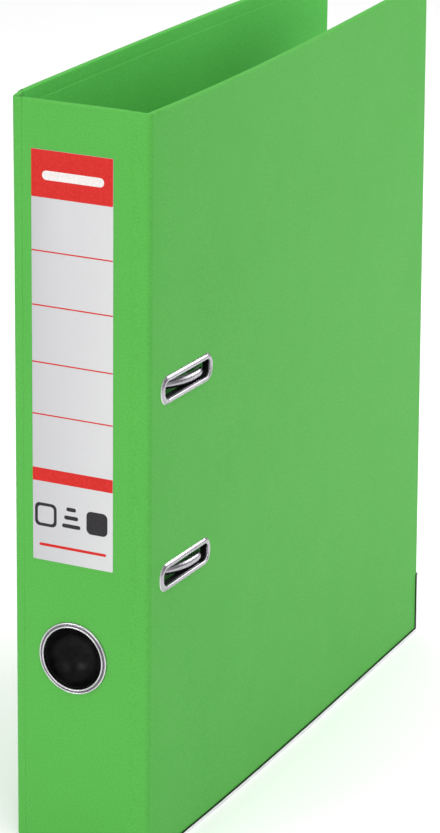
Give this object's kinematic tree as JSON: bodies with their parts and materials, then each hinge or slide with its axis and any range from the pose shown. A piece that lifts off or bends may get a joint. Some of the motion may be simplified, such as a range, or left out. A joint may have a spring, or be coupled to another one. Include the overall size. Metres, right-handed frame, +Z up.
{
  "type": "lever arch file",
  "caption": "Upright A4 lever arch file: film-covered board covers hinged on a labelled spine with a finger ring, and a lever, bent-wire arches, posts and compressor bar inside",
  "frame": {"origin": "on the surface that the file stands on, under the middle of its footprint", "axes": "+Z up along the spine, -Y out of the spine's labelled face, +Y towards the open edge, +X out of the front cover, -X out of the back cover"},
  "size_m": [0.0637, 0.2892, 0.318],
  "materials": {
    "green_film": "bright green polypropylene film, fine linen grain, satin",
    "lining_film": "green inner lining, smooth satin",
    "greyboard": "grey recycled board",
    "label_paper": "white label with a red header band, thin red rules and one thick red bar, no text",
    "nickel_plate": "bright nickel plate",
    "zinc_steel": "zinc-plated sheet steel",
    "black_plastic": "black moulded plastic, fine texture on its floor",
    "grey_plastic": "grey moulded plastic"
  },
  "bodies": {
    "spine": {"spine_board": "greyboard", "spine_skin": "green_film", "spine_lining": "lining_film", "front_hinge_film": "green_film", "spine_label": "label_paper", "finger_ring": "nickel_plate", "finger_ring_backing": "nickel_plate", "finger_cup": "black_plastic"},
    "front_cover": {"front_board": "greyboard", "front_skin": "green_film", "front_lining": "lining_film", "lower_slot_frame": "nickel_plate", "lower_slot_backing": "nickel_plate", "upper_slot_frame": "nickel_plate", "upper_slot_backing": "nickel_plate", "front_edge_protector": "zinc_steel"},
    "back_cover": {"back_board": "greyboard", "back_skin": "green_film", "back_lining": "lining_film", "back_hinge_film": "green_film", "back_edge_protector": "zinc_steel", "base_plate": "zinc_steel", "base_rivet_1": "zinc_steel", "base_rivet_2": "zinc_steel", "base_rivet_3": "zinc_steel", "base_rivet_4": "zinc_steel", "lower_post": "zinc_steel", "upper_post": "zinc_steel", "lever_bracket": "zinc_steel", "lever_pivot_pin": "zinc_steel", "lower_bail_bearing": "zinc_steel", "upper_bail_bearing": "zinc_steel", "arch_spring": "zinc_steel"},
    "lever": {"lever_arm": "zinc_steel", "roller_pin": "zinc_steel", "lever_grip": "grey_plastic"},
    "roller": {"roller": "grey_plastic"},
    "arches": {"arch_wire": "nickel_plate"},
    "compressor": {"compressor_bar": "zinc_steel", "lower_compressor_bush": "grey_plastic", "upper_compressor_bush": "grey_plastic"}
  },
  "joints": [
    {"name": "front_cover_hinge", "type": "hinge", "parent": "spine", "child": "front_cover", "pos_m": [0.0284, -0.144, 0.159], "axis": [0, 0, -1], "range_deg": [0, 160]},
    {"name": "back_cover_hinge", "type": "hinge", "parent": "spine", "child": "back_cover", "pos_m": [-0.031, -0.141, 0.159], "axis": [0, 0, 1], "range_deg": [0, 90]},
    {"name": "lever_lift", "type": "hinge", "parent": "back_cover", "child": "lever", "pos_m": [-0.019, -0.121, 0.1795], "axis": [0, -1, 0], "range_deg": [0, 70]},
    {"name": "arch_swing", "type": "hinge", "parent": "back_cover", "child": "arches", "pos_m": [-0.0238, -0.121, 0.1605], "axis": [0, 0, -1], "range_deg": [0, 12]},
    {"name": "compressor_slide", "type": "slide", "parent": "back_cover", "child": "compressor", "axis": [1, 0, 0], "range_m": [0, 0.024]},
    {"name": "roller_spin", "type": "hinge", "parent": "lever", "child": "roller", "pos_m": [-0.0184, -0.121, 0.1725], "axis": [0, 1, 0], "continuous": true}
  ],
  "couplings": [
    {"joint": "arch_swing", "follows": "lever_lift", "ratio": 0.1714}
  ]
}
